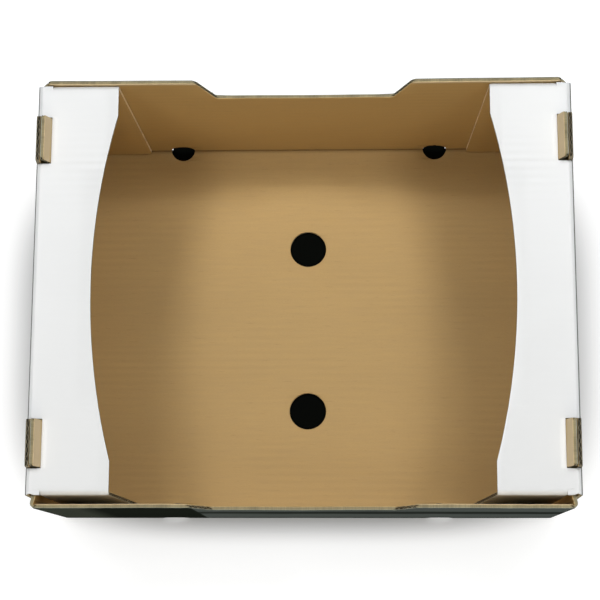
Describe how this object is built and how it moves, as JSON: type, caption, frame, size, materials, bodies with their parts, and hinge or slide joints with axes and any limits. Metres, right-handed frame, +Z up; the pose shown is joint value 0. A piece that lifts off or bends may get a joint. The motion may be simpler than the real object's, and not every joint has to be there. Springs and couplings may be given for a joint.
{
  "type": "corrugated fruit box",
  "caption": "Open corrugated fruit tray, folded and glued from one blank, with end platforms, stacking tabs and low long sides.",
  "frame": {"origin": "on the ground under the middle of the tray", "axes": "+X along the length from end wall to end wall, -Y towards the front long wall, +Z up"},
  "size_m": [0.5, 0.4036, 0.191],
  "materials": {
    "board": "matte kraft inside, white platforms, dark printed field outside"
  },
  "bodies": {
    "root": {"tray": "board"}
  },
  "joints": []
}
